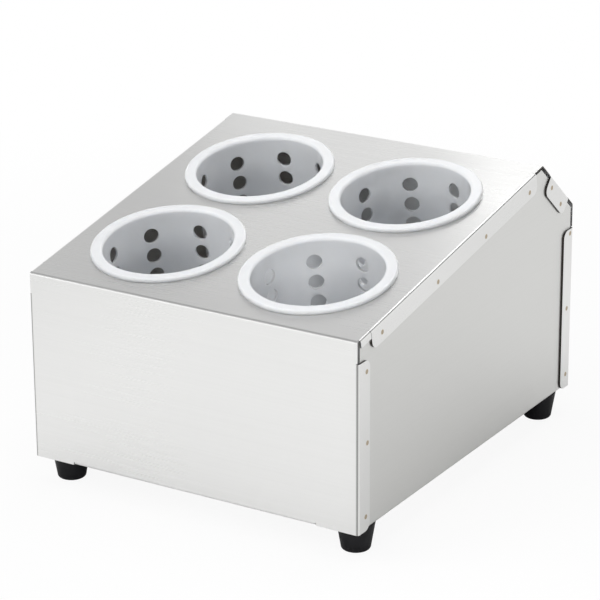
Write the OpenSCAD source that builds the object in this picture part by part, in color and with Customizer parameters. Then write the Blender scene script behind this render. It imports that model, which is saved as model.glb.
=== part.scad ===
// Countertop holder for flatware cylinders: a folded stainless housing on rubber feet,
// with loose perforated plastic cylinders that hang by their rims in its sloped top.
// Millimetres. X runs to the right, Y to the back, Z up. The origin lies on the counter,
// under the middle of the housing.

/* [Cylinders] */
// Outside diameter of a cylinder's rim
rim_d = 114.3; // [100:0.1:130]
// Height of the rim above its seat
rim_h = 3.2; // [2.8:0.1:6]
// Radius of the rim's outer top edge
rim_edge_r = 1.6; // [1:0.1:2.5]
// Radius of the rim's inner edge, where it turns down into the wall
mouth_r = 2.2; // [1.5:0.1:5]
// Overall height of a cylinder
cylinder_h = 139.7; // [120:0.1:160]
// Outside diameter of the wall just under the rim
wall_d = 100.6; // [90:0.1:108]
// Thickness of the wall
wall_t = 2.2; // [1.5:0.1:3.5]
// Slope of the wall on each side
wall_taper = 1.5; // [0.5:0.25:3]
// Thickness of the base
base_t = 2.5; // [1.5:0.25:4]
// Radius of the base's outer edge
base_edge_r = 3; // [1:0.5:6]
// Diameter of the round holes in the wall and the base
perforation_d = 11.7; // [6:0.1:13]
// Columns of holes around the wall
perforation_columns = 8; // [4:2:12]
// Rows of holes down the wall
perforation_rows = 7; // [3:1:7]
// Height from one row of holes to the next
row_pitch = 16.3; // [14:0.1:17]
// Depth of the first row of holes, below the rim's top
first_row = 18.3; // [14:0.1:22]
// Radius of the ring of holes in the base
drain_ring_r = 29; // [22:1:34]

/* [Layout on the top] */
// Gap between neighbouring rims
rim_gap = 12.7; // [8:0.1:30]
// From the front rims to the front bend
front_margin = 14.7; // [8:0.05:30]
// From the back rims to the ridge
rear_margin = 21.65; // [10:0.05:40]
// From the outer rims to the sides of the housing
side_margin = 17.4; // [8:0.05:30]
// Clearance around a cylinder's wall in its hole
hole_gap = 1; // [0.5:0.1:2]
// Clearance between a rim and the top it rests on
seat_gap = 0.2; // [0.1:0.1:0.5]
// How far each cylinder happens to be turned: front left, front right, back left, back right
cylinder_turns = [6.3, 35.8, 10.4, 26.5]; // [0:0.1:45]

/* [Housing] */
// Slope of the top
top_slope = 10.3; // [5:0.1:15]
// Run of the rear chamfer, from the ridge to the back
chamfer_run = 52.5; // [40:0.1:80]
// Drop of the rear chamfer, from the ridge to the back panel
chamfer_drop = 44.9; // [35:0.1:60]
// Space under the cylinders, down to the housing's lower edge
under_gap = 14.2; // [10:0.1:40]
// Thickness of the stainless sheet
sheet_t = 1.2; // [0.8:0.1:1.5]
// Outside radius of the bends
bend_r = 2.2; // [2:0.1:4]
// Width of the inward returns at the lower edges of the front and back
end_return_w = 12; // [8:0.5:18]

/* [Side flanges] */
// Width of the flanges that fold over the side panels
flange_w = 15.5; // [12:0.5:20]
// Radius of a flange's free corners
flange_corner_r = 6; // [2:0.5:8]
// Width of the relief cut at each free end of a bend
bend_relief = 0.6; // [0.3:0.1:1.2]
// Relief below the front bend, on the front panel
relief_front = 16.5; // [12:0.5:22]
// Relief behind the front bend, on the top
relief_top_front = 17; // [12:0.5:22]
// Relief before the ridge, on the top
relief_top_rear = 13; // [10:0.5:20]
// Relief behind the ridge, on the chamfer
relief_chamfer_upper = 16.5; // [10:0.5:20]
// Relief before the back bend, on the chamfer
relief_chamfer_lower = 12.5; // [10:0.5:20]
// Relief below the back bend, on the back panel
relief_back = 18.5; // [12:0.5:24]
// Depth of the lip left beside the top's front relief
lip_drop = 6; // [4:0.25:8]
// Width of the slit between that lip and the flange
lip_slit = 0.4; // [0.3:0.1:1.5]

/* [Side panels] */
// Clearance from a side panel's edge to the bends of the front, chamfer and back
side_edge_gap = 1.2; // [0.3:0.1:2]
// Clearance from a side panel's upper edge to the top's bend
side_top_gap = 0.3; // [0.2:0.1:2]
// Width of the side panels' lower returns beyond the feet
return_margin = 4; // [2:0.5:10]
// Clearance between the side panels' returns and those of the front and back
return_gap = 1; // [0.5:0.25:3]

/* [Feet] */
// Height of a rubber foot
foot_h = 21.5; // [15:0.5:30]
// Diameter of a foot at its top
foot_top_d = 28; // [24:0.5:32]
// Diameter of a foot near the counter
foot_bottom_d = 21.6; // [18:0.2:24]
// Radius of a foot's lower edge
foot_edge_r = 2.5; // [1:0.25:3]
// From the side of the housing to a foot's axis
foot_inset_side = 15.5; // [14:0.5:24]
// From the front or back of the housing to a foot's axis
foot_inset_end = 23; // [18:0.5:40]
// Depth of the recess for the screw head
recess_h = 9; // [6:0.5:12]
// Diameter of the recess for the screw head
recess_d = 10.4; // [10:0.1:12]
// Diameter of the foot screws
screw_d = 4; // [3:0.5:5]
// Diameter of a screw's head
screw_head_d = 8; // [6:0.25:8.5]
// Height of a screw's head
screw_head_h = 2.6; // [2:0.1:3.5]
// Screw end left standing above its nut
screw_end = 1.5; // [0.5:0.25:3]
// Clearance around a screw in the foot, washer and return
screw_gap = 0.25; // [0.1:0.05:0.5]
// Clearance between a screw and its nut
thread_gap = 0.05; // [0.02:0.01:0.1]
// Diameter of the steel washer in a foot
washer_d = 9.6; // [9:0.1:10]
// Thickness of the washer
washer_t = 1; // [0.8:0.1:1.5]
// Width of a nut across its flats
nut_w = 7; // [6.5:0.5:9]
// Height of a nut
nut_h = 3.2; // [2.4:0.1:5]

/* [Hidden] */
$fn = 72;
// Facets of the small round holes
hole_fn = 32;
// Steps in each drawn arc
arc_steps = 8;
// How far joined solids run into each other, and cutters run past what they cut
joint = 1;

// The grid of cylinders and the plan of the housing that holds them
pitch = rim_d + rim_gap;
row_front = front_margin + rim_d / 2;
top_len = row_front + pitch + rim_d / 2 + rear_margin;
body_w = 2 * side_margin + rim_d + pitch;
body_d = top_len * cos(top_slope) + chamfer_run;
hole_d = wall_d + 2 * hole_gap;

// A cylinder's own heights, from the plane of the top
rim_top = seat_gap + rim_h;
base_z = rim_top - cylinder_h;
wall_r = wall_d / 2;
mouth_inner_r = wall_r - wall_t;
function wall_r_at(z) = wall_r + z * tan(wall_taper);
base_r = wall_r_at(base_z);

// Heights of the housing's bends, set by what the front cylinders need below them
lowest_corner = base_r * sin(top_slope) - base_z * cos(top_slope) - row_front * sin(top_slope);
front_h = under_gap + lowest_corner;
peak_h = front_h + top_len * sin(top_slope);
back_h = peak_h - chamfer_drop;
chamfer_len = norm([chamfer_run, chamfer_drop]);

// Corners of the folded sheet's outer face, as [y, z], from the front's foot to the back's
corners = [
    [-body_d / 2, foot_h],
    [-body_d / 2, foot_h + front_h],
    [body_d / 2 - chamfer_run, foot_h + peak_h],
    [body_d / 2, foot_h + back_h],
    [body_d / 2, foot_h]
];
// The panels between those corners are the front, the top, the rear chamfer and the back
FRONT = 0;
TOP = 1;
BACK = 3;
function panel_angle(i) = atan2(corners[i + 1][1] - corners[i][1], corners[i + 1][0] - corners[i][0]);
function panel_normal(i) = [-sin(panel_angle(i)), cos(panel_angle(i))];
// Where each panel's side flange starts and ends, along the panel
flange_spans = [
    [0, front_h - relief_front],
    [relief_top_front, top_len - relief_top_rear],
    [relief_chamfer_upper, chamfer_len - relief_chamfer_lower],
    [relief_back, back_h]
];
lip_span = [bend_r + bend_relief, relief_top_front - lip_slit];
// Where the flat sheet stops at a panel's side bend, with a relief past each free end
bend_spans = [
    [-joint, front_h - relief_front + bend_relief],
    [bend_r, top_len - relief_top_rear + bend_relief],
    [relief_chamfer_upper - bend_relief, chamfer_len - relief_chamfer_lower + bend_relief],
    [relief_back - bend_relief, back_h + joint]
];

// Side panels lie against the flanges' inner faces
side_x = body_w / 2 - sheet_t;
side_edge = bend_r + side_edge_gap;
side_top_edge = bend_r + side_top_gap;
return_x = body_w / 2 - foot_inset_side - foot_top_d / 2 - return_margin;
// The front's and back's returns end short of those of the side panels
end_return_x = return_x - return_gap;

foot_x = body_w / 2 - foot_inset_side;
foot_y = body_d / 2 - foot_inset_end;
screw_hole_r = screw_d / 2 + screw_gap;
washer_z = recess_h - washer_t;
screw_top = foot_h + sheet_t + nut_h + screw_end;

PLACES = ["front_left", "front_right", "back_left", "back_right"];
function side_of(i) = i % 2 == 0 ? -1 : 1;
function row_of(i) = floor(i / 2);

// Points of an arc, from one angle to another
function arc(centre, r, from, to) =
    [for (k = [0:arc_steps]) let (a = from + (to - from) * k / arc_steps) centre + r * [cos(a), sin(a)]];
function reversed(list) = [for (k = [len(list) - 1:-1:0]) list[k]];

// The point that lies the given depths inside the two panels that meet at corner i
function inside_corner(i, depth_before, depth_after) =
    let (
        n0 = panel_normal(i - 1),
        n1 = panel_normal(i),
        det = n0[0] * n1[1] - n0[1] * n1[0]
    )
    corners[i] + [n0[1] * depth_after - n1[1] * depth_before, n1[0] * depth_before - n0[0] * depth_after] / det;

// The bend at corner i, on the sheet's outer face or, with a smaller radius, its inner face
function bend(i, r) =
    arc(inside_corner(i, bend_r, bend_r), r, 90 + panel_angle(i - 1), 90 + panel_angle(i));
function bends(r) = concat(bend(1, r), bend(2, r), bend(3, r));

// Draws children in a panel's own frame: X across, Y along the panel, Z out of its face
module on_panel(i) {
    translate([0, corners[i][0], corners[i][1]])
        rotate([panel_angle(i), 0, 0])
            children();
}

// Extrudes an outline drawn in [y, z] from one x to another
module across(x0, x1) {
    translate([x0, 0, 0])
        rotate([90, 0, 90])
            linear_extrude(x1 - x0)
                children();
}

// Extrudes an outline drawn in [x, z] from one y to another
module along(y0, y1) {
    translate([0, y1, 0])
        rotate([90, 0, 0])
            linear_extrude(y1 - y0)
                children();
}

// Draws children on both sides of the housing
module both_sides() {
    children();
    mirror([1, 0, 0])
        children();
}

// Draws children at the back of the housing and at its front
module both_ends() {
    children();
    mirror([0, 1, 0])
        children();
}

// Section of a lower bend, inside the given outer face, and of its return as far as the given reach
module return_section(face, reach) {
    centre = [face - bend_r, foot_h + bend_r];
    polygon(concat(
        [centre + [bend_r, joint]],
        arc(centre, bend_r, 0, -90),
        [[reach, foot_h], [reach, foot_h + sheet_t]],
        arc(centre, bend_r - sheet_t, -90, 0),
        [centre + [bend_r - sheet_t, joint]]
    ));
}

// Section of the side bend and of a flange that hangs the given depth below the panel
module flange_section(depth) {
    centre = [body_w / 2 - bend_r, -bend_r];
    polygon(concat(
        [centre + [-joint, bend_r]],
        arc(centre, bend_r, 90, 0),
        [[body_w / 2, -depth], [body_w / 2 - sheet_t, -depth]],
        arc(centre, bend_r - sheet_t, 0, 90),
        [centre + [-joint, bend_r - sheet_t]]
    ));
}

// Outline of a flange in the side plane, with its free corners rounded
module flange_outline(span) {
    low = -flange_w + flange_corner_r;
    polygon(concat(
        [[span[0], joint]],
        arc([span[0] + flange_corner_r, low], flange_corner_r, 180, 270),
        arc([span[1] - flange_corner_r, low], flange_corner_r, 270, 360),
        [[span[1], joint]]
    ));
}

module side_flange(span) {
    intersection() {
        along(span[0] - joint, span[1] + joint)
            flange_section(flange_w);
        across(body_w / 2 - bend_r - 2 * joint, body_w / 2 + joint)
            flange_outline(span);
    }
}

// The back's lower return
module end_return() {
    half_w = end_return_x - bend_relief;
    across(-half_w, half_w)
        return_section(body_d / 2, body_d / 2 - end_return_w);
}

// Takes the back's lower edge away where it turns into the return
module return_cut() {
    translate([-end_return_x, body_d / 2 - sheet_t - joint, foot_h - joint])
        cube([2 * end_return_x, sheet_t + 2 * joint, joint + bend_r]);
}

// Takes the flat sheet away where it turns into a side bend
module bend_cut(span) {
    translate([body_w / 2 - bend_r, span[0], -sheet_t - joint])
        cube([bend_r + joint, span[1] - span[0], sheet_t + 2 * joint]);
}

module flat_sheet() {
    across(-side_x, side_x)
        polygon(concat(
            [corners[0]],
            bends(bend_r),
            [corners[4], corners[4] - sheet_t * panel_normal(BACK)],
            reversed(bends(bend_r - sheet_t)),
            [corners[0] - sheet_t * panel_normal(FRONT)]
        ));
}

// Draws children at a cylinder's place on the top, with Z along the cylinder's axis
module at_place(i) {
    on_panel(TOP)
        translate([side_of(i) * pitch / 2, row_front + row_of(i) * pitch, 0])
            children();
}

module housing_wrap() {
    color("gainsboro") {
        difference() {
            flat_sheet();
            for (i = [FRONT:BACK])
                on_panel(i)
                    both_sides()
                        bend_cut(bend_spans[i]);
            both_ends()
                return_cut();
            for (i = [0:len(PLACES) - 1])
                at_place(i)
                    cylinder(d = hole_d, h = 2 * (sheet_t + joint), center = true);
        }
        for (i = [FRONT:BACK])
            on_panel(i)
                both_sides()
                    side_flange(flange_spans[i]);
        on_panel(TOP)
            both_sides()
                along(lip_span[0], lip_span[1])
                    flange_section(lip_drop);
        both_ends()
            end_return();
    }
}

// Flat of a side panel in the side plane, down to the bend of its lower return
module side_outline() {
    low = foot_h + bend_r;
    polygon([
        [-body_d / 2 + side_edge, low],
        inside_corner(1, side_edge, side_top_edge),
        inside_corner(2, side_top_edge, side_edge),
        inside_corner(3, side_edge, side_edge),
        [body_d / 2 - side_edge, low]
    ]);
}

// The feet are screwed to the lower return
module right_panel() {
    difference() {
        union() {
            across(side_x - sheet_t, side_x)
                side_outline();
            along(-body_d / 2 + side_edge, body_d / 2 - side_edge)
                return_section(side_x, return_x);
        }
        for (y = [-foot_y, foot_y])
            translate([foot_x, y, foot_h])
                cylinder(r = screw_hole_r, h = 2 * (sheet_t + joint), center = true);
    }
}

module right_side_panel() {
    color("silver")
        right_panel();
}

module left_side_panel() {
    color("silver")
        mirror([1, 0, 0])
            right_panel();
}

// Half section of a cylinder: base, wall, mouth and rim
module cylinder_section() {
    inner_base = base_z + base_t;
    rim_r = rim_d / 2;
    polygon(concat(
        [[0, base_z]],
        arc([base_r - base_edge_r, base_z + base_edge_r], base_edge_r, -90, 0),
        [[wall_r_at(seat_gap), seat_gap], [rim_r, seat_gap]],
        arc([rim_r - rim_edge_r, rim_top - rim_edge_r], rim_edge_r, 0, 90),
        arc([mouth_inner_r + mouth_r, rim_top - mouth_r], mouth_r, 90, 180),
        [[wall_r_at(inner_base) - wall_t, inner_base], [0, inner_base]]
    ));
}

module wall_holes() {
    start_r = base_r - wall_t - perforation_d / 2;
    for (column = [0:perforation_columns - 1])
        for (row = [0:perforation_rows - 1])
            rotate([0, 0, column * 360 / perforation_columns])
                translate([start_r, 0, rim_top - first_row - row * row_pitch])
                    rotate([0, 90, 0])
                        cylinder(d = perforation_d, h = wall_r + joint - start_r, $fn = hole_fn);
}

module base_holes() {
    translate([0, 0, base_z - joint]) {
        cylinder(d = perforation_d, h = base_t + 2 * joint, $fn = hole_fn);
        for (column = [0:perforation_columns - 1])
            rotate([0, 0, column * 360 / perforation_columns])
                translate([drain_ring_r, 0, 0])
                    cylinder(d = perforation_d, h = base_t + 2 * joint, $fn = hole_fn);
    }
}

module flatware_cylinder(i) {
    color("white")
        at_place(i)
            rotate([0, 0, cylinder_turns[i]])
                difference() {
                    rotate_extrude()
                        cylinder_section();
                    wall_holes();
                    base_holes();
                }
}

// Draws children on a foot's axis, at the height of the counter
module at_foot(i) {
    translate([side_of(i) * foot_x, row_of(i) == 0 ? -foot_y : foot_y, 0])
        children();
}

module foot(i) {
    bottom_r = foot_bottom_d / 2;
    color("#1c1c1e")
        at_foot(i)
            rotate_extrude()
                polygon(concat(
                    [[screw_hole_r, recess_h], [recess_d / 2, recess_h], [recess_d / 2, 0]],
                    arc([bottom_r - foot_edge_r, foot_edge_r], foot_edge_r, -90, 0),
                    [[foot_top_d / 2, foot_h], [screw_hole_r, foot_h]]
                ));
}

module foot_washer(i) {
    color("lightgray")
        at_foot(i)
            translate([0, 0, washer_z])
                difference() {
                    cylinder(d = washer_d, h = washer_t);
                    translate([0, 0, -joint])
                        cylinder(r = screw_hole_r, h = washer_t + 2 * joint);
                }
}

// Pan-head screw, put in from below, with a cross recess in its head
module foot_screw(i) {
    head_r = screw_head_d / 2;
    head_z = washer_z - screw_head_h;
    round_r = screw_head_h / 2;
    cross_l = screw_head_d / 2;
    cross_w = screw_d / 4;
    color("lightgray")
        at_foot(i)
            difference() {
                rotate_extrude()
                    polygon(concat(
                        [[0, head_z]],
                        arc([head_r - round_r, head_z + round_r], round_r, -90, 0),
                        [[head_r, washer_z], [screw_d / 2, washer_z], [screw_d / 2, screw_top], [0, screw_top]]
                    ));
                for (turn = [0, 90])
                    rotate([0, 0, turn])
                        translate([-cross_l / 2, -cross_w / 2, head_z - joint])
                            cube([cross_l, cross_w, joint + screw_head_h / 2]);
            }
}

module foot_nut(i) {
    color("lightgray")
        at_foot(i)
            translate([0, 0, foot_h + sheet_t])
                difference() {
                    cylinder(d = nut_w / cos(30), h = nut_h, $fn = 6);
                    translate([0, 0, -joint])
                        cylinder(d = screw_d + 2 * thread_gap, h = nut_h + 2 * joint);
                }
}

housing_wrap();
left_side_panel();
right_side_panel();
for (i = [0:len(PLACES) - 1]) {
    flatware_cylinder(i);
    foot(i);
    foot_washer(i);
    foot_screw(i);
    foot_nut(i);
}
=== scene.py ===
# %% [markdown]
# # Dressing a steel flatware holder
#
# The object is a countertop holder: a folded steel housing with a sloped top, four white plastic
# cylinders that hang in it by their rims, and four rubber feet. Its solid parts arrive ready-made,
# each in an object of its own and at its real size in metres. What is left for Blender is the look:
# the finishes, the weld marks, the light and the camera.
#
# The first cell brings the parts in and keeps their outer box, which later cells measure from.

# %% Bring in the parts
import math

import bmesh
import bpy
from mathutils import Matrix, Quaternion, Vector


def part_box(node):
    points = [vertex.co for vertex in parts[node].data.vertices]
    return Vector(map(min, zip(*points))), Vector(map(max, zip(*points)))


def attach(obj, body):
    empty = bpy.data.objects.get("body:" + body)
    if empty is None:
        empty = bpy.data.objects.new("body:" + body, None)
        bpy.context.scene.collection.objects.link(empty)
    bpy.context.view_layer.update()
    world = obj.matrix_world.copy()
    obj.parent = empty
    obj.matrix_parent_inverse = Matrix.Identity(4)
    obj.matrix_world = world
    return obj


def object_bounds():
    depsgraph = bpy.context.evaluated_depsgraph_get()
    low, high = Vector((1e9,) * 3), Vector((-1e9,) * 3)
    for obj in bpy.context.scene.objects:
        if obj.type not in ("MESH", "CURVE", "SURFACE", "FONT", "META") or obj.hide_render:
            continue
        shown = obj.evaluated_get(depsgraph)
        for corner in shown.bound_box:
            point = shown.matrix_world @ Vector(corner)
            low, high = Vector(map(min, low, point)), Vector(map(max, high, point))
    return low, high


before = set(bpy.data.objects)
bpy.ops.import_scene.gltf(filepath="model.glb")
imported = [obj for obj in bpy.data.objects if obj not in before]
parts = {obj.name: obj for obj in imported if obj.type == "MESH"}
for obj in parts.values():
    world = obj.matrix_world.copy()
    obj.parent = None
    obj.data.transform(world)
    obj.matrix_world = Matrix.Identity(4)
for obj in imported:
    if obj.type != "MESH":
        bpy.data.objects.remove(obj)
cad_low, cad_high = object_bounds()
MM = 0.001
print("outer size in mm:", [round(side / MM, 1) for side in cad_high - cad_low])

# %% [markdown]
# ## The camera
#
# The picture is taken from the right of the front and from a little above, with a long lens far
# away, so that parallel edges stay nearly parallel. A camera can be placed by dragging it about, but
# a few numbers say the same thing more clearly: the point that it looks at, the two angles that it
# looks from, how far off it stands, and the small angle by which it was held askew.

# %% Place the camera
# Lengths are in metres, as everywhere here, apart from the lens, which is in millimetres
CAMERA_AIM = Vector((0.0413, -0.0807, 0.1515))
CAMERA_AZIMUTH = math.radians(31.578)
CAMERA_ELEVATION = math.radians(20.383)
CAMERA_ROLL = math.radians(-0.354)
CAMERA_DISTANCE = 2.0554
CAMERA_LENS = 172.38

scene = bpy.context.scene
backwards = Vector((
    math.sin(CAMERA_AZIMUTH) * math.cos(CAMERA_ELEVATION),
    -math.cos(CAMERA_AZIMUTH) * math.cos(CAMERA_ELEVATION),
    math.sin(CAMERA_ELEVATION),
))
camera = bpy.data.objects.new("camera", bpy.data.cameras.new("camera"))
camera.data.lens = CAMERA_LENS
camera.location = CAMERA_AIM + CAMERA_DISTANCE * backwards
level = (-backwards).to_track_quat("-Z", "Y")
camera.rotation_euler = (level @ Quaternion((0, 0, 1), CAMERA_ROLL)).to_euler()
scene.collection.objects.link(camera)
scene.camera = camera
scene.view_settings.view_transform = "Standard"
print("camera stands at", [round(c, 3) for c in camera.location])

# %% [markdown]
# ## Building materials out of nodes
#
# A finish is a small network of nodes. Adding a node, setting it and joining it up takes several
# lines each time, so three short helpers do that: one adds a node with its settings, one makes a new
# material and hands back its main shader, and one works out a sum or a comparison.

# %% Add nodes and join them
def add_node(tree, kind, values=(), **settings):
    """A new node; values are (socket, value) pairs, and settings are the node's own options."""
    node = tree.nodes.new(kind)
    for name, setting in settings.items():
        setattr(node, name, setting)
    for socket, value in values:
        node.inputs[socket].default_value = value
    return node


def new_finish(name, **sockets):
    """A new material, with values set on its main shader; socket names use _ for a space."""
    finish = bpy.data.materials.new(name)
    finish.use_nodes = True
    shader = finish.node_tree.nodes["Principled BSDF"]
    for socket, value in sockets.items():
        shader.inputs[socket.replace("_", " ")].default_value = value
    return finish, finish.node_tree, shader


def calculate(tree, operation, *values):
    """A Math node's result; each value is a number or another node's output."""
    node = add_node(tree, "ShaderNodeMath", operation=operation)
    for socket, value in zip(node.inputs, values):
        if isinstance(value, (int, float)):
            socket.default_value = value
        else:
            tree.links.new(value, socket)
    return node.outputs["Value"]


print("node helpers:", add_node.__name__, new_finish.__name__, calculate.__name__)

# %% [markdown]
# ## Unevenness
#
# No real surface is the same all over. A painted picture could show that, but it needs an unwrapped
# mesh and turns blurred close to. Noise needs neither: it has so many waves per metre, and fewer of
# them along the grain where a surface was brushed. Its values crowd around the middle, so they are
# spread over the range that a finish needs. From there they choose a colour between two tones, set
# the roughness, or act as a height that tilts the surface.

# %% Make noise and use it
NOISE_LOW = 0.3
NOISE_HIGH = 0.7


def noise(tree, waves, detail=2.0, grain=None, along=0.0):
    """Noise with so many waves per metre, and another number along the grain, X or Y, if any."""
    stretch = [waves] * 3
    if grain:
        stretch["XYZ".index(grain)] = along
    place = add_node(tree, "ShaderNodeTexCoord")
    scale = add_node(tree, "ShaderNodeMapping", [("Scale", stretch)])
    made = add_node(tree, "ShaderNodeTexNoise", [("Scale", 1.0), ("Detail", detail)])
    tree.links.new(place.outputs["Object"], scale.inputs["Vector"])
    tree.links.new(scale.outputs["Vector"], made.inputs["Vector"])
    return made.outputs["Fac"]


def spread(tree, amount, low=0.0, high=1.0):
    """Turns a noise value, which mostly lies between its two limits, into one from low to high."""
    ends = (("From Min", NOISE_LOW), ("From Max", NOISE_HIGH), ("To Min", low), ("To Max", high))
    node = add_node(tree, "ShaderNodeMapRange", ends)
    tree.links.new(amount, node.inputs["Value"])
    return node.outputs["Result"]


def two_tones(tree, amount, first, second):
    """A colour between two, by an amount from 0 to 1; the first may be another node's output."""
    mix = add_node(tree, "ShaderNodeMix", data_type="RGBA")
    if isinstance(first, tuple):
        mix.inputs["A"].default_value = (*first, 1)
    else:
        tree.links.new(first, mix.inputs["A"])
    mix.inputs["B"].default_value = (*second, 1)
    tree.links.new(amount, mix.inputs["Factor"])
    return mix.outputs["Result"]


def bump(tree, shader, height, depth):
    """Lets a height pattern of that depth in metres tilt the surface."""
    node = add_node(tree, "ShaderNodeBump", [("Strength", 1.0), ("Distance", depth)])
    tree.links.new(height, node.inputs["Height"])
    tree.links.new(node.outputs["Normal"], shader.inputs["Normal"])


print("noise from", NOISE_LOW, "to", NOISE_HIGH, "is spread over the range of a finish")

# %% [markdown]
# ## Brushed stainless steel
#
# The sheet was brushed with a belt before it was folded, so fine scratches run along it. They are a
# fraction of a millimetre wide and centimetres long. A scratch spreads light across its own
# direction, which is why brushed steel shows long soft glows and never a sharp mirror image.
#
# A picture of scratches could be painted on, but noise that is stretched along the grain gives the
# same look at any distance. Fine noise sets the roughness and tilts the surface, longer streaks
# change the tone a little, and the shader's anisotropy does the spreading. It needs to know which
# way is across the grain: going round the X axis crosses every scratch of the wrap, on its flanges
# too, because they were folded from the same sheet.

# %% Make the brushed steel
# Waves per metre, across the grain and along it
SCRATCHES = (2600.0, 8.0)
STREAKS = (900.0, 0.8)
PATCHES = 7.0
GRAIN_DETAIL = 3.0
SCRATCH_DEPTH = 0.0006 * MM
# How much the scratches and the patches add to the roughness or take from it
SCRATCH_RUB = 0.03
PATCH_RUB = 0.02
WRAP_TONES = ((0.845, 0.845, 0.835), (0.86, 0.86, 0.85))
# The side panels are the same steel as the wrap: their darker tones are painted shade, for how much
# darker the sides look
SHADED_SIDE_TONES = ((0.728, 0.728, 0.711), (0.74, 0.74, 0.724))
WRAP_ROUGHNESS = 0.30
SIDE_ROUGHNESS = 0.36


def brushed_steel(name, grain, tones, roughness):
    """Steel brushed along an axis, X or Y, with its streaks between two tones."""
    finish, tree, shader = new_finish(name, Metallic=1.0, Anisotropic=0.7)
    scratches = noise(tree, SCRATCHES[0], GRAIN_DETAIL, grain, SCRATCHES[1])
    streaks = noise(tree, STREAKS[0], GRAIN_DETAIL, grain, STREAKS[1])
    patches = noise(tree, PATCHES)
    tree.links.new(two_tones(tree, spread(tree, streaks), *tones), shader.inputs["Base Color"])
    fine_rub = spread(tree, scratches, roughness - SCRATCH_RUB, roughness + SCRATCH_RUB)
    wide_rub = spread(tree, patches, -PATCH_RUB, PATCH_RUB)
    tree.links.new(calculate(tree, "ADD", fine_rub, wide_rub), shader.inputs["Roughness"])
    across = add_node(tree, "ShaderNodeTangent", direction_type="RADIAL", axis=grain)
    tree.links.new(across.outputs["Tangent"], shader.inputs["Tangent"])
    bump(tree, shader, scratches, SCRATCH_DEPTH)
    return finish


wrap_steel = brushed_steel("brushed_steel_wrap", "X", WRAP_TONES, WRAP_ROUGHNESS)
side_steel = brushed_steel("brushed_steel_side", "Y", SHADED_SIDE_TONES, SIDE_ROUGHNESS)
print("steel finishes:", wrap_steel.name, side_steel.name)

# %% [markdown]
# ## Telling places on the sheet apart
#
# A few places on the folded sheet get another tone: its cut edges, partly with painted shadow, and
# its bends and its inside, with painted shade. Each could be a strip of mesh with a finish of its
# own, but the surface itself says where they are, by its place and by the way that it faces.
# Comparing those with a limit gives a mask, which is 1 on such a place and 0 elsewhere, and the mask
# mixes another tone into the finish.

# %% Read the surface and tint it
def axes_of(tree, kind, output):
    """The X, Y and Z of what a new node of that kind gives."""
    axes = add_node(tree, "ShaderNodeSeparateXYZ")
    tree.links.new(add_node(tree, kind).outputs[output], axes.inputs["Vector"])
    return axes.outputs


def place_and_facing(tree):
    """The place of a point on the surface, in metres, and the way that the surface faces there."""
    place = axes_of(tree, "ShaderNodeTexCoord", "Object")
    facing = axes_of(tree, "ShaderNodeNewGeometry", "Normal")
    return place, facing


def fade(tree, amount, start, end, low, high):
    """Goes smoothly from low, where the amount is at start, to high, where it is at end."""
    ends = (("From Min", start), ("From Max", end), ("To Min", low), ("To Max", high))
    node = add_node(tree, "ShaderNodeMapRange", ends, interpolation_type="SMOOTHSTEP")
    tree.links.new(amount, node.inputs["Value"])
    return node.outputs["Result"]


def tint(tree, mask, tone):
    """Mixes a tone over the base colour that a finish has so far."""
    colour = tree.nodes["Principled BSDF"].inputs["Base Color"]
    so_far = colour.links[0].from_socket
    tree.links.new(two_tones(tree, mask, so_far, tone), colour)


SHEET = 1.2 * MM
HALF_WIDTH = cad_high.x
print("the flanges lie", round(HALF_WIDTH / MM, 2), "mm out to each side")

# %% [markdown]
# ## Painted dark lines on the bends
#
# Along the middle of each flange's bend the finish is painted with a greyer line, a painted dark
# reflection, broad on the upright bends and narrow on the sloped ones. A bend lies near the side and
# looks only partly sideways, so its mask comes on and goes off again as the surface turns.

# %% Paint the dark lines on the bends
# Painted shade: a greyer tone along each bend that stands for a dark reflection there
PAINTED_BEND_SHADE = (0.34, 0.34, 0.335)
BEND_DEPTH = 3 * SHEET
# A bend that looks up or down by less than this is an upright one
UPRIGHT_LIMIT = 0.15
# How far the bend has turned sideways where its painted dark line starts, is full, starts to fade
# and ends
UPRIGHT_DARK_LINE = (0.02, 0.2, 0.6, 0.8)
SLOPED_DARK_LINE = (0.56, 0.66, 0.74, 0.84)


def painted_dark_line(tree, sideways, starts, full, fades, ends):
    """1 where the bend has turned sideways so far, fading to 0 beside that."""
    past_panel = fade(tree, sideways, starts, full, 0.0, 1.0)
    before_flange = fade(tree, sideways, fades, ends, 1.0, 0.0)
    return calculate(tree, "MULTIPLY", past_panel, before_flange)


def painted_bend_lines(tree, place, facing):
    """1 in the middle of the flanges' bends, fading to 0 beside them."""
    outward = calculate(tree, "ABSOLUTE", place["X"])
    sideways = calculate(tree, "ABSOLUTE", facing["X"])
    rising = calculate(tree, "ABSOLUTE", facing["Z"])
    at_side = calculate(tree, "GREATER_THAN", outward, HALF_WIDTH - BEND_DEPTH)
    sloped = calculate(tree, "GREATER_THAN", rising, UPRIGHT_LIMIT)
    upright = calculate(tree, "SUBTRACT", 1.0, sloped)
    broad = calculate(tree, "MULTIPLY", upright, painted_dark_line(tree, sideways, *UPRIGHT_DARK_LINE))
    narrow = calculate(tree, "MULTIPLY", sloped, painted_dark_line(tree, sideways, *SLOPED_DARK_LINE))
    return calculate(tree, "MULTIPLY", at_side, calculate(tree, "ADD", broad, narrow))


wrap_nodes = wrap_steel.node_tree
# Paints a greyer line along each bend, a painted dark reflection
tint(wrap_nodes, painted_bend_lines(wrap_nodes, *place_and_facing(wrap_nodes)), PAINTED_BEND_SHADE)
print("nodes in the wrap's finish with its bends:", len(wrap_nodes.nodes))

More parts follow.
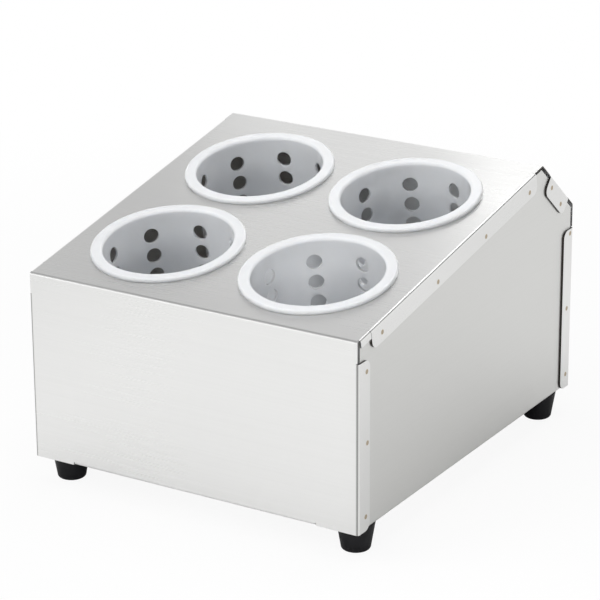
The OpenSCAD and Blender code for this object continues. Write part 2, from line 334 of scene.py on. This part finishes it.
# %% [markdown]
# ## Cut edges
#
# Where the sheet was cut, its raw edge shows as a thin dark line around each flange, and a paler one
# at the front corners, which were dressed with a file. The dark tone is partly the raw edge and
# partly painted shadow, for the shade in the gap beside each edge. The edge of a flange lies within
# one thickness of its face and doesn't look sideways. The end of a panel, beside the relief of a
# bend, looks straight outwards and lies deeper than the face of the flange.

# %% Mark the cut edges
# Near black: the raw edge's own dark tone together with painted shadow from the gap beside it
RAW_EDGE_AND_SHADOW = (0.05, 0.045, 0.04)
FILED_EDGE = (0.55, 0.545, 0.54)
FILED_DEPTH = 12 * MM
# Below the flange's face: a flange lies within the first depth, and a panel ends below the second
FLANGE_DEPTH = 1.05 * SHEET
PANEL_END_DEPTH = 0.25 * SHEET
# A facing with less than this to the side is edge-on, and the next two are straight out and up
EDGE_ON = 0.3
STRAIGHT_OUT = 0.9
LOOKS_UP = 0.5


def flange_edges(tree, place, facing):
    """1 on the edges where a flange was cut, and 0 elsewhere."""
    outward = calculate(tree, "ABSOLUTE", place["X"])
    sideways = calculate(tree, "ABSOLUTE", facing["X"])
    in_flange = calculate(tree, "GREATER_THAN", outward, HALF_WIDTH - FLANGE_DEPTH)
    edge_on = calculate(tree, "LESS_THAN", sideways, EDGE_ON)
    return calculate(tree, "MULTIPLY", in_flange, edge_on)


def panel_ends(tree, place, facing):
    """1 where a panel ends beside a relief, and 0 elsewhere."""
    outward = calculate(tree, "ABSOLUTE", place["X"])
    away = calculate(tree, "MULTIPLY", place["X"], facing["X"])
    looks_out = calculate(tree, "GREATER_THAN", away, STRAIGHT_OUT * HALF_WIDTH)
    deeper = calculate(tree, "LESS_THAN", outward, HALF_WIDTH - PANEL_END_DEPTH)
    return calculate(tree, "MULTIPLY", looks_out, deeper)


def filed_corners(tree, place, facing):
    """1 near the front, apart from what looks up, and 0 elsewhere."""
    near_front = calculate(tree, "LESS_THAN", place["Y"], cad_low.y + FILED_DEPTH)
    not_up = calculate(tree, "LESS_THAN", facing["Z"], LOOKS_UP)
    return calculate(tree, "MULTIPLY", near_front, not_up)


surface = place_and_facing(wrap_nodes)
flange_cuts = flange_edges(wrap_nodes, *surface)
cuts = calculate(wrap_nodes, "MAXIMUM", panel_ends(wrap_nodes, *surface), flange_cuts)
filed_cuts = calculate(wrap_nodes, "MULTIPLY", cuts, filed_corners(wrap_nodes, *surface))
# Paints the cut edges near black, partly as painted shadow of the gaps beside them
tint(wrap_nodes, cuts, RAW_EDGE_AND_SHADOW)
tint(wrap_nodes, filed_cuts, FILED_EDGE)
print("nodes in the wrap's finish with its edges:", len(wrap_nodes.nodes))

# %% [markdown]
# ## White plastic
#
# The cylinders are moulded in a white plastic with a smooth gloss and a slight blue cast. Light goes
# a few millimetres into such plastic before it comes out again, which takes the hardness off its
# shadows. The shader's subsurface setting does that. Wide, faint clouds in the tone and the gloss, as
# the cooling of a moulding leaves them, keep it from looking like paint.

# %% Make the white plastic
PLASTIC_TONES = ((0.835, 0.852, 0.878), (0.845, 0.862, 0.886))
PLASTIC_ROUGHNESS = (0.19, 0.23)
PLASTIC_CLOUDS = 16.0
PLASTIC_WAVINESS = 0.02 * MM
LIGHT_REACH = 6 * MM


def uneven(tree, shader, tones, tone_noise, roughness, rough_noise):
    """Lets one noise choose between two tones and another set the roughness within its range."""
    shade = two_tones(tree, spread(tree, tone_noise), *tones)
    tree.links.new(shade, shader.inputs["Base Color"])
    tree.links.new(spread(tree, rough_noise, *roughness), shader.inputs["Roughness"])


def white_plastic():
    finish, tree, shader = new_finish(
        "white_plastic",
        IOR=1.49,
        Subsurface_Weight=1.0,
        Subsurface_Scale=LIGHT_REACH,
        Subsurface_Radius=(1.0, 0.97, 0.94),
    )
    clouds = noise(tree, PLASTIC_CLOUDS)
    uneven(tree, shader, PLASTIC_TONES, clouds, PLASTIC_ROUGHNESS, clouds)
    bump(tree, shader, clouds, PLASTIC_WAVINESS)
    return finish


cylinder_plastic = white_plastic()
print("plastic finish:", cylinder_plastic.name)

# %% [markdown]
# ## Black rubber and zinc-plated steel
#
# The feet are moulded in black rubber, with a fine matt grain and a faint sheen. The washers,
# screws and nuts that hold them are zinc-plated, a bluish grey that is cloudy from one spot to the
# next. Both finishes are the plastic's few nodes with other numbers.

# %% Make the rubber and the plating
RUBBER_TONES = ((0.006, 0.006, 0.007), (0.011, 0.011, 0.013))
RUBBER_ROUGHNESS = (0.42, 0.56)
RUBBER_DUST = 60.0
RUBBER_GRAIN = 900.0
RUBBER_GRAIN_DEPTH = 0.04 * MM
ZINC_TONES = ((0.52, 0.54, 0.57), (0.66, 0.67, 0.68))
ZINC_ROUGHNESS = (0.28, 0.42)
ZINC_CLOUDS = 700.0
ZINC_WEAR = 1500.0


def black_rubber():
    finish, tree, shader = new_finish("black_rubber", IOR=1.5, Specular_IOR_Level=0.22)
    grain = noise(tree, RUBBER_GRAIN, GRAIN_DETAIL)
    uneven(tree, shader, RUBBER_TONES, noise(tree, RUBBER_DUST), RUBBER_ROUGHNESS, grain)
    bump(tree, shader, grain, RUBBER_GRAIN_DEPTH)
    return finish


def zinc_plating():
    finish, tree, shader = new_finish("zinc_plating", Metallic=1.0)
    wear = noise(tree, ZINC_WEAR)
    uneven(tree, shader, ZINC_TONES, noise(tree, ZINC_CLOUDS), ZINC_ROUGHNESS, wear)
    return finish


foot_rubber = black_rubber()
fastener_zinc = zinc_plating()
print("other finishes:", foot_rubber.name, fastener_zinc.name)

# %% [markdown]
# ## Giving each part its finish
#
# Every part takes one finish all over, and its name says which. A list of name beginnings, with the
# longer ones first, is easier to check than one line per part.

# %% Hand out the finishes
FINISH_BY_NAME = (
    ("housing_wrap", wrap_steel),
    ("left_side", side_steel),
    ("right_side", side_steel),
    ("cylinder", cylinder_plastic),
    ("foot_washer", fastener_zinc),
    ("foot_screw", fastener_zinc),
    ("foot_nut", fastener_zinc),
    ("foot", foot_rubber),
)


def finish_for(name):
    return next(finish for start, finish in FINISH_BY_NAME if name.startswith(start))


for name, part in parts.items():
    part.data.materials.clear()
    part.data.materials.append(finish_for(name))
print("finished parts:", len(parts))

# %% [markdown]
# ## Where the flanges are
#
# The wrap's four panels are the front, the top, the rear chamfer and the back, and each has a flange
# on both sides. The weld marks sit on those flanges. Their places could be typed in, but measuring
# the wrap keeps the marks on the metal if its sizes change: each panel is the largest flat that faces
# about its way, and two panels meet at a bend.

# %% Measure the panels
PANEL_FACING = {
    "front": (0, -1, 0),
    "top": (0, -0.2, 1),
    "chamfer": (0, 0.6, 0.8),
    "back": (0, 1, 0),
}
SAME_WAY = 0.97

wrap = parts["housing_wrap"]
wrap_low, wrap_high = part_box("housing_wrap")


def panel_plane(facing):
    """Normal and distance of the wrap's largest flat that faces about that way."""
    facing = Vector(facing).normalized()
    areas = {}
    for face in wrap.data.polygons:
        if face.normal.dot(facing) > SAME_WAY:
            key = tuple(round(c, 3) for c in face.normal)
            areas[key] = areas.get(key, 0) + face.area
    normal = Vector(max(areas, key=areas.get)).normalized()
    return normal, max(normal.dot(v.co) for v in wrap.data.vertices)


def bend_between(first, second):
    """The point, in the side view, where two panels would meet if the bend were sharp."""
    (n0, d0), (n1, d1) = first, second
    det = n0.y * n1.z - n0.z * n1.y
    return Vector((0, (d0 * n1.z - d1 * n0.z) / det, (d1 * n0.y - d0 * n1.y) / det))


planes = {name: panel_plane(facing) for name, facing in PANEL_FACING.items()}
panel_start = {
    "front": Vector((0, wrap_low.y, wrap_low.z)),
    "top": bend_between(planes["front"], planes["top"]),
    "chamfer": bend_between(planes["top"], planes["chamfer"]),
    "back": bend_between(planes["chamfer"], planes["back"]),
}
for name, start in panel_start.items():
    print(f"{name} starts at y {start.y / MM:.1f}, z {start.z / MM:.1f} mm")

# %% [markdown]
# ## Painted shadow in the gaps at the rear corners
#
# At the rear the flanges are notched, and there a dark line shows beside the wrap: the cut edge of
# the side panel and the shadow in the gap between the two sheets, painted on. The line follows the
# chamfer and the back, so the side's finish turns dark within a short reach of those two planes. The
# flanges cover the rest of it.

# %% Paint shadow into the rear gaps
# How far in from the chamfer and the back the painted shadow reaches
GAP_REACH = 2.6 * MM


def near_plane(tree, normal, distance):
    """1 within the gap's reach of a panel's outer plane, and 0 further in."""
    along = add_node(tree, "ShaderNodeVectorMath", [(1, normal)], operation="DOT_PRODUCT")
    tree.links.new(add_node(tree, "ShaderNodeTexCoord").outputs["Object"], along.inputs[0])
    return calculate(tree, "GREATER_THAN", along.outputs["Value"], distance - GAP_REACH)


side_nodes = side_steel.node_tree
rear_gap_shadow = [near_plane(side_nodes, *planes[name]) for name in ("chamfer", "back")]
# Painted shadow: the side's face turns near black within that reach of the chamfer and the back
tint(side_nodes, calculate(side_nodes, "MAXIMUM", *rear_gap_shadow), RAW_EDGE_AND_SHADOW)
print("rear gaps reach", round(GAP_REACH / MM, 1), "mm in")

# %% [markdown]
# ## Painted shade inside the side panels
#
# The inner faces of the side panels are painted darker, a painted shade for the dim inside of the
# housing; they are what shows through the holes of the left cylinders. An inner face looks back
# towards the middle of the holder, and that makes its mask.

# %% Paint shade on the inside of the side panels
INSIDE_SHADE = (0.34, 0.325, 0.305)
LOOKS_BACK = 0.5


def inner_faces(tree, place, facing):
    """1 on what looks towards the middle of the holder, and 0 elsewhere."""
    away = calculate(tree, "MULTIPLY", place["X"], facing["X"])
    return calculate(tree, "LESS_THAN", away, -LOOKS_BACK * HALF_WIDTH)


# Painted shade: the inner faces turn dark, as the inside of the housing looks in shadow
tint(side_nodes, inner_faces(side_nodes, *place_and_facing(side_nodes)), INSIDE_SHADE)
print("nodes in the side's finish with its inside:", len(side_nodes.nodes))

# %% [markdown]
# ## Places of the spot welds
#
# The flanges are spot-welded to the side panels. The welder placed the welds by eye, so they are not
# quite in line. Each place is two lengths, measured as one would on the real sheet: along the panel
# from where it starts, and in from the bend.

# %% Place the welds
# Along the panel and in from the bend, in millimetres
WELDS = {
    "front": ((11, 10), (66, 12), (119, 11)),
    "top": ((31, 8.5), (110.5, 11), (183, 11.5), (252.5, 10)),
    "chamfer": ((24, 7), (47, 10)),
    "back": ((22, 5.5), (82.5, 8), (137.5, 7)),
}


def weld_spot(name, along, depth):
    """Where a weld's middle lies in the side view."""
    normal = planes[name][0]
    run = Vector((0, normal.z, -normal.y))
    return panel_start[name] + MM * (along * run - depth * normal)


weld_spots = [weld_spot(name, *spot) for name, spots in WELDS.items() for spot in spots]
print("welds on each side:", len(weld_spots))

# %% [markdown]
# ## The shape of a weld
#
# Each weld leaves a round dent about 4 mm across, with a low ring of metal pushed up around it. A
# dent could be left to a bump pattern, but real geometry holds up close to. One ring of points is
# turned round the weld's axis for each step of its profile, and a value stored on the points, from 1
# in the middle to 0 at the edge, tells the finish where the heat was.

# %% Shape a weld
# Radius and height of a weld's profile, in millimetres, and how much heat it took
WELD_PROFILE = (
    (0.5, 0.02, 1.0),
    (1.0, 0.03, 0.95),
    (1.4, 0.09, 0.7),
    (1.75, 0.08, 0.35),
    (2.1, 0.01, 0.0),
)
WELD_STEPS = 24
WELD_HEAT = "weld_heat"


def weld_ring(mesh, heat, middle, side, radius, height, warmth):
    """The points of one step of the profile, turned round the weld's axis."""
    ring = []
    for step in range(WELD_STEPS):
        turn = 2 * math.pi * step / WELD_STEPS
        offset = Vector((side * height, radius * math.cos(turn), radius * math.sin(turn)))
        vert = mesh.verts.new(middle + MM * offset)
        vert[heat] = warmth
        ring.append(vert)
    return ring


def add_weld(mesh, heat, middle, side):
    """Adds one weld at the middle, on the right side for 1 or the left for -1."""
    rings = [weld_ring(mesh, heat, middle, side, *step) for step in WELD_PROFILE]
    radius, height, warmth = WELD_PROFILE[0]
    hub = mesh.verts.new(middle + MM * Vector((side * height, 0, 0)))
    hub[heat] = warmth
    for step in range(WELD_STEPS):
        after = (step + 1) % WELD_STEPS
        mesh.faces.new((hub, rings[0][step], rings[0][after]))
        for inner, outer in zip(rings, rings[1:]):
            mesh.faces.new((inner[step], outer[step], outer[after], inner[after]))


print("points in one weld:", WELD_STEPS * len(WELD_PROFILE) + 1)

# %% [markdown]
# ## Welding both sides
#
# Each weld could be an object of its own, but nobody ever moves one apart from the others. So the
# welds of one side are one object, which rides on the housing as the flanges do.

# %% Weld both sides
def side_welds(name, side):
    """All the welds of one side, as one object that rides on the housing."""
    mesh = bmesh.new()
    heat = mesh.verts.layers.float.new(WELD_HEAT)
    flange_face = wrap_high.x if side > 0 else wrap_low.x
    for spot in weld_spots:
        add_weld(mesh, heat, Vector((flange_face, spot.y, spot.z)), side)
    bmesh.ops.recalc_face_normals(mesh, faces=mesh.faces)
    made = bpy.data.objects.new(name, bpy.data.meshes.new(name))
    mesh.to_mesh(made.data)
    mesh.free()
    made.data.shade_smooth()
    scene.collection.objects.link(made)
    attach(made, "housing")
    return made


welds = [side_welds("spot_welds_right", 1), side_welds("spot_welds_left", -1)]
print("faces on each side's welds:", [len(made.data.polygons) for made in welds])

# %% [markdown]
# ## Heat colour on the welds
#
# Hot steel grows a thin oxide, straw-coloured first and then brown. The finish starts from the
# steel's own tone and goes through those colours by the heat stored on the points. The oxide is also
# duller than the brushed sheet, so the roughness follows the heat as well.

# %% Make the heat-tinted steel
HEAT_TONES = (
    (0.0, (0.85, 0.85, 0.84)),
    (0.35, (0.66, 0.60, 0.50)),
    (0.75, (0.42, 0.32, 0.21)),
    (1.0, (0.50, 0.43, 0.33)),
)
COLD_ROUGHNESS = 0.3
HOT_ROUGHNESS = 0.5


def heat_tinted_steel():
    finish, tree, shader = new_finish("heat_tinted_steel", Metallic=1.0)
    heat = add_node(tree, "ShaderNodeAttribute", attribute_name=WELD_HEAT).outputs["Fac"]
    ramp = add_node(tree, "ShaderNodeValToRGB")
    for place, tone in HEAT_TONES[1:-1]:
        ramp.color_ramp.elements.new(place)
    for stop, (place, tone) in zip(ramp.color_ramp.elements, HEAT_TONES):
        stop.position = place
        stop.color = (*tone, 1)
    tree.links.new(heat, ramp.inputs["Fac"])
    tree.links.new(ramp.outputs["Color"], shader.inputs["Base Color"])
    ends = (("To Min", COLD_ROUGHNESS), ("To Max", HOT_ROUGHNESS))
    dull = add_node(tree, "ShaderNodeMapRange", ends)
    tree.links.new(heat, dull.inputs["Value"])
    tree.links.new(dull.outputs["Result"], shader.inputs["Roughness"])
    return finish


weld_finish = heat_tinted_steel()
for made in welds:
    made.data.materials.append(weld_finish)
print("weld finish:", weld_finish.name)

# %% [markdown]
# ## What the floor shows
#
# Steel is only as good as what it mirrors, so the surroundings matter as much as the finish. The
# holder stands on a pale floor that catches its shadow and fades into plain white further out. Light
# Path tells rays apart. A ray that comes straight from the viewer finds a floor that is nearly white
# all round, and in shadow deep under the housing. A mirrored ray finds it darker close to the holder,
# where its own shadow lies, and a little greyer off to both sides. That is what makes the lower part
# of each panel darken towards the floor, and the front fade a little to the left.

# %% Work out how white the floor is
# Where the floor starts to whiten, where it is white, and how white it is at the start
SEEN_WHITE = (0.25, 0.9, 0.92)
MIRRORED_WHITE = (0.175, 0.41, 0.0)
# How deep under the housing the seen floor starts to darken, and where only its shadow is left
UNDER_HOUSING = (0.048, 0.07)
# Where the mirrored floor starts to grey to one side, where it is greyest, and what is left there
GREY_RIGHT = (0.0, 0.25, 0.87)
GREY_LEFT = (-0.22, -0.42, 0.88)


def straight_rays(tree):
    """1 for a ray that comes straight from the viewer, and 0 for others."""
    return add_node(tree, "ShaderNodeLightPath").outputs["Is Camera Ray"]


def mirrored_rays(tree):
    """1 for a ray that was mirrored or went through glass, and 0 for others."""
    path = add_node(tree, "ShaderNodeLightPath").outputs
    return calculate(tree, "MAXIMUM", path["Is Glossy Ray"], path["Is Transmission Ray"])


def seen_floor(tree, place, distance):
    """How white a straight ray finds the floor, and 0 for other rays."""
    starts, full, low = SEEN_WHITE
    white = fade(tree, distance, starts, full, low, 1.0)
    from_side = calculate(tree, "SUBTRACT", cad_high.x, calculate(tree, "ABSOLUTE", place["X"]))
    from_end = calculate(tree, "SUBTRACT", cad_high.y, calculate(tree, "ABSOLUTE", place["Y"]))
    depth = calculate(tree, "MINIMUM", from_side, from_end)
    seen = calculate(tree, "MULTIPLY", white, straight_rays(tree))
    return calculate(tree, "MULTIPLY", seen, fade(tree, depth, *UNDER_HOUSING, 1.0, 0.0))


def mirrored_floor(tree, distance):
    """How white a mirrored ray finds the floor, and 0 for other rays."""
    starts, full, low = MIRRORED_WHITE
    white = fade(tree, distance, starts, full, low, 1.0)
    return calculate(tree, "MULTIPLY", white, mirrored_rays(tree))


def side_greying(tree, place):
    """What is left of the white to both sides, and all of it for a straight ray."""
    sides = []
    for starts, full, low in (GREY_RIGHT, GREY_LEFT):
        sides.append(fade(tree, place["X"], starts, full, 1.0, low))
    return calculate(tree, "MAXIMUM", straight_rays(tree), calculate(tree, "MULTIPLY", *sides))


print("mirrored floor is white from", MIRRORED_WHITE[1], "m out, seen floor from", SEEN_WHITE[1], "m")

# %% [markdown]
# ## The floor itself
#
# A floor could be a plane with an edge on the horizon. A wide disc has no corner that could come into
# the picture or into a mirror image. Its finish mixes two shaders, one that is lit and takes shadows
# and one that is white by itself, by the amounts of the last step.

# %% Lay the floor
FLOOR_RADIUS = 6.0
FLOOR_SIDES = 96
FLOOR_GREY = (0.88, 0.88, 0.88, 1)


def floor_finish():
    finish, tree, lit = new_finish(
        "pale_floor", Base_Color=FLOOR_GREY, Roughness=0.9, Specular_IOR_Level=0.0
    )
    place = axes_of(tree, "ShaderNodeTexCoord", "Object")
    away = add_node(tree, "ShaderNodeVectorMath", operation="LENGTH")
    tree.links.new(add_node(tree, "ShaderNodeTexCoord").outputs["Object"], away.inputs[0])
    distance = away.outputs["Value"]
    amount = calculate(tree, "ADD", seen_floor(tree, place, distance), mirrored_floor(tree, distance))
    white = add_node(tree, "ShaderNodeEmission", [("Color", (1, 1, 1, 1))])
    tree.links.new(side_greying(tree, place), white.inputs["Strength"])
    mix = add_node(tree, "ShaderNodeMixShader")
    tree.links.new(amount, mix.inputs["Fac"])
    tree.links.new(lit.outputs["BSDF"], mix.inputs[1])
    tree.links.new(white.outputs["Emission"], mix.inputs[2])
    tree.links.new(mix.outputs["Shader"], tree.nodes["Material Output"].inputs["Surface"])
    return finish


disc = bmesh.new()
bmesh.ops.create_circle(disc, cap_ends=True, radius=FLOOR_RADIUS, segments=FLOOR_SIDES)
floor = bpy.data.objects.new("floor", bpy.data.meshes.new("floor"))
disc.to_mesh(floor.data)
disc.free()
floor.data.materials.append(floor_finish())
scene.collection.objects.link(floor)
print("floor radius in m:", FLOOR_RADIUS)

# %% [markdown]
# ## The world above
#
# Overhead is a studio with a white sweep at the horizon and a greyer ceiling. The rays that a viewer
# sees, straight or mirrored, find that backdrop, and the ones that only carry soft light find an even
# pale grey, weak enough that the insides of the cylinders stay darker than their rims.

# %% Fill the world
HORIZON_WHITE = (1.0, 1.0, 1.0)
CEILING_GREY = (0.325, 0.325, 0.33)
# How far up, from 0 at the horizon to 1 overhead, the ceiling starts and where it is greyest
CEILING_STARTS = 0.155
CEILING_FULL = 0.977
SOFT_LIGHT = 0.09

world = bpy.data.worlds.new("studio")
world.use_nodes = True
scene.world = world
sky_nodes = world.node_tree
soft = sky_nodes.nodes["Background"]
soft.inputs["Color"].default_value = (*HORIZON_WHITE, 1)
soft.inputs["Strength"].default_value = SOFT_LIGHT
upward = axes_of(sky_nodes, "ShaderNodeTexCoord", "Generated")["Z"]
ceiling = fade(sky_nodes, upward, CEILING_STARTS, CEILING_FULL, 0.0, 1.0)
backdrop = add_node(sky_nodes, "ShaderNodeBackground", [("Strength", 1.0)])
sky_tone = two_tones(sky_nodes, ceiling, HORIZON_WHITE, CEILING_GREY)
sky_nodes.links.new(sky_tone, backdrop.inputs["Color"])
choice = add_node(sky_nodes, "ShaderNodeMixShader")
viewed = calculate(sky_nodes, "MAXIMUM", straight_rays(sky_nodes), mirrored_rays(sky_nodes))
sky_nodes.links.new(viewed, choice.inputs["Fac"])
sky_nodes.links.new(soft.outputs["Background"], choice.inputs[1])
sky_nodes.links.new(backdrop.outputs["Background"], choice.inputs[2])
sky_nodes.links.new(choice.outputs["Shader"], sky_nodes.nodes["World Output"].inputs["Surface"])
print("soft light from all round:", SOFT_LIGHT)

# %% [markdown]
# ## Softboxes
#
# A product photographer lights metal with large soft lamps, because metal shows the lamp itself and
# a small one would be a glaring dot. Three softboxes light the plastic and are kept out of the mirror
# images: a big one far off on the left, one overhead, and a low strip close by on the right, whose
# light reaches only the upper part of the walls inside the cylinders. The others are there to be
# mirrored: one behind spreads its glow over the back of the sloped top, a small one above it glints
# in the far corner, one high behind draws a light line along the sloped bend, and a low strip at the
# front does the same for the front bend.

# %% Hang the softboxes
LAMP_AIM = Vector((0, 0, 0.15))
# Place, width and height in metres, power in watts, and whether shiny things mirror the lamp
SOFTBOXES = {
    "far_softbox": ((-1.1, -1.3, 1.7), 1.4, 1.2, 21.5, False),
    "overhead_softbox": ((0.0, 0.0, 1.2), 0.9, 0.9, 7.2, False),
    "near_softbox": ((0.42, -0.52, 0.28), 0.4, 0.14, 1.3, False),
    "back_softbox": ((-0.16, 1.0, 0.80), 1.24, 0.43, 0.75, True),
    "glint_softbox": ((-0.37, 0.90, 0.94), 0.16, 0.16, 0.14, True),
    "slope_softbox": ((0.12, 0.66, 1.04), 0.62, 0.2, 1.3, True),
    "low_softbox": ((-0.75, -1.36, 0.62), 1.2, 0.3, 1.1, True),
}


def hang_lamp(lamp, place, mirrored):
    """Puts a lamp in its place, turned to the holder, where no straight ray sees it."""
    hung = bpy.data.objects.new(lamp.name, lamp)
    hung.location = place
    hung.rotation_euler = (LAMP_AIM - hung.location).to_track_quat("-Z", "Y").to_euler()
    hung.visible_camera = False
    hung.visible_glossy = mirrored
    scene.collection.objects.link(hung)
    return hung


for name, (place, width, height, power, mirrored) in SOFTBOXES.items():
    softbox = bpy.data.lights.new(name, "AREA")
    softbox.shape = "RECTANGLE"
    softbox.size = width
    softbox.size_y = height
    softbox.energy = power
    hung = hang_lamp(softbox, place, mirrored)
    print(name, "hangs", round((hung.location - LAMP_AIM).length, 2), "m away")

# %% [markdown]
# ## Light between the cylinders
#
# The plastic walls let some light through, so the space between the cylinders is never quite dark,
# and it shows through the holes that face it. Following light through walls takes very many rays. A
# small weak lamp in the middle of that space gives the same look, kept out of the mirror images.

# %% Light the space between the cylinders
# How far below the highest rim the lamp hangs, its radius, and its power in watts
GLOW_DEPTH = 70 * MM
GLOW_RADIUS = 12 * MM
GLOW_POWER = 0.036

lows, highs = zip(*(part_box(name) for name in parts if name.startswith("cylinder")))
rims_middle = (min(low.y for low in lows) + max(high.y for high in highs)) / 2
rims_top = max(high.z for high in highs)
wall_glow = bpy.data.lights.new("wall_glow", "POINT")
wall_glow.energy = GLOW_POWER
wall_glow.shadow_soft_size = GLOW_RADIUS
hung = hang_lamp(wall_glow, (0, rims_middle, rims_top - GLOW_DEPTH), False)
print("the glow is at", [round(c, 3) for c in hung.location])
